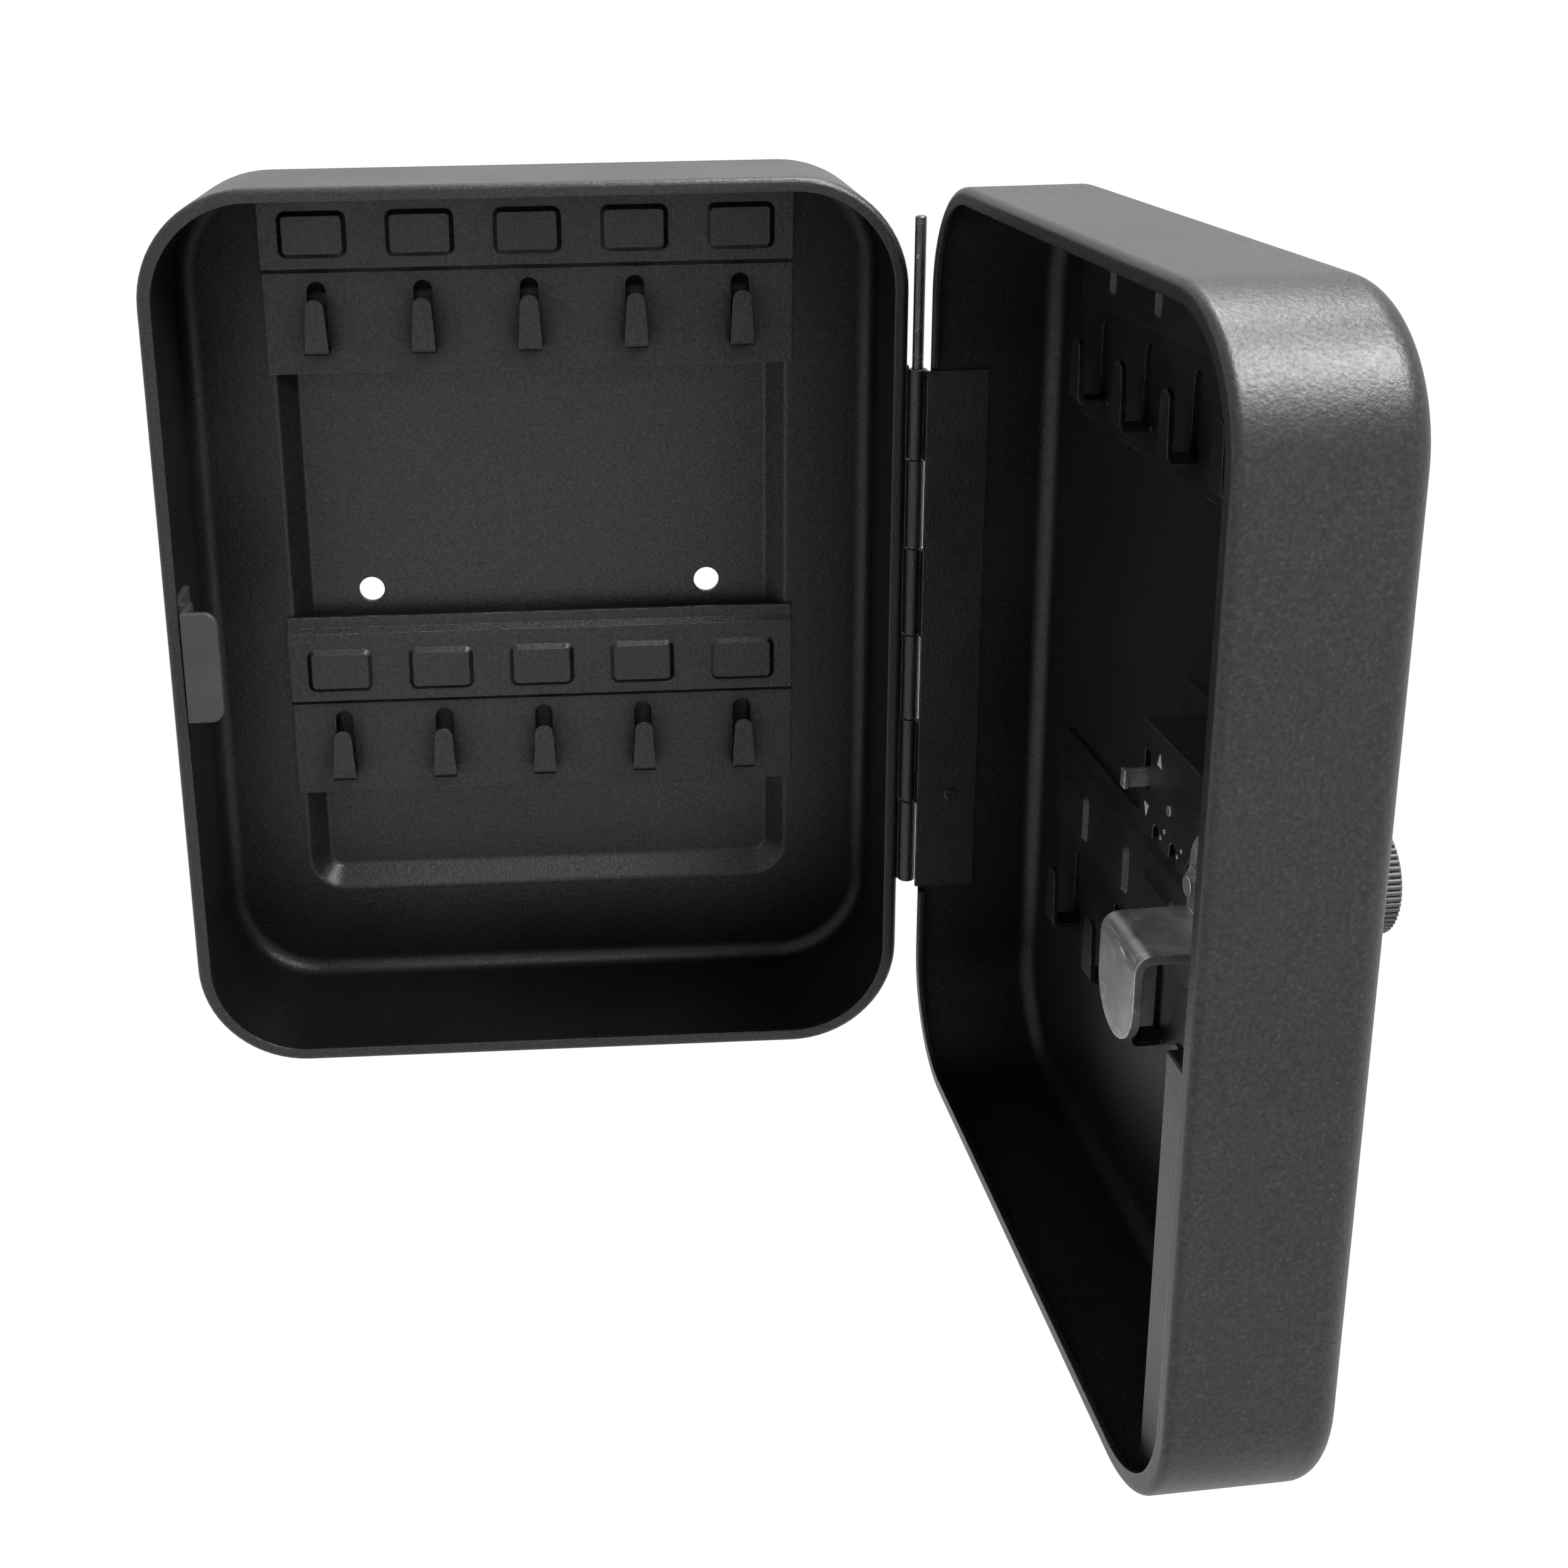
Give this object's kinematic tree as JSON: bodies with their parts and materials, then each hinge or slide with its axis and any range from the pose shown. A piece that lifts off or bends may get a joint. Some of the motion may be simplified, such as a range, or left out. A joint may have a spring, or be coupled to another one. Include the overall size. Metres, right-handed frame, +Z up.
{
  "type": "wall key cabinet with a knob latch and number dials",
  "caption": "Steel key cabinet hung on a wall, its hinged door open, with hook strips, a ribbed turn knob, a latch and number dials.",
  "frame": {"origin": "midway between the two wall screw holes, on the wall plane", "axes": "+X to the right seen from the front, where the hinge is; +Y into the wall; +Z up; the front faces -Y"},
  "size_m": [0.2172, 0.2066, 0.2],
  "materials": {
    "paint": "satin",
    "zinc": "satin",
    "dial_plastic": "matte",
    "cam_plastic": "matte",
    "knob_metal": "satin"
  },
  "bodies": {
    "cabinet": {"cabinet_shell": "paint", "cabinet_strip_top": "paint", "cabinet_strip_bottom": "paint", "strike_tab": "zinc", "hinge_leaf_cabinet": "paint", "hinge_pin": "zinc"},
    "door": {"door_shell": "paint", "door_strip_top": "paint", "door_strip_bottom": "paint", "hinge_leaf_door": "paint", "door_edge_channel": "paint", "lock_frame": "zinc", "lock_cover": "paint", "cover_rivet": "zinc", "dial_axle": "zinc", "detent_spring": "zinc", "spindle_bush": "zinc"},
    "dial_1": {"number_dial_1": "dial_plastic", "dial_cam_1": "cam_plastic"},
    "dial_2": {"number_dial_2": "dial_plastic", "dial_cam_2": "cam_plastic"},
    "dial_3": {"number_dial_3": "dial_plastic", "dial_cam_3": "cam_plastic"},
    "knob": {"knob": "knob_metal", "spindle": "zinc", "latch": "zinc", "latch_washer": "zinc", "latch_nut": "zinc"},
    "reset_lever": {"reset_lever": "zinc"}
  },
  "joints": [
    {"name": "door_hinge", "type": "hinge", "parent": "cabinet", "child": "door", "pos_m": [0.0822, -0.045, 0], "axis": [0, 0, 1], "range_deg": [-94, 76]},
    {"name": "knob_turn", "type": "hinge", "parent": "door", "child": "knob", "pos_m": [0.11808, -0.171, 0.0006], "axis": [-0.9976, -0.0698, 0], "range_deg": [0, 90]},
    {"name": "dial_turn_1", "type": "hinge", "parent": "door", "child": "dial_1", "pos_m": [0.11617, -0.14377, 0.0043], "axis": [-0.0698, 0.9976, 0], "continuous": true},
    {"name": "dial_turn_2", "type": "hinge", "parent": "door", "child": "dial_2", "pos_m": [0.11672, -0.15155, 0.0043], "axis": [-0.0698, 0.9976, 0], "continuous": true},
    {"name": "dial_turn_3", "type": "hinge", "parent": "door", "child": "dial_3", "pos_m": [0.11726, -0.15933, 0.0043], "axis": [-0.0698, 0.9976, 0], "continuous": true},
    {"name": "reset_slide", "type": "slide", "parent": "door", "child": "reset_lever", "axis": [0, 0, 1], "range_m": [0, 0.003]}
  ]
}
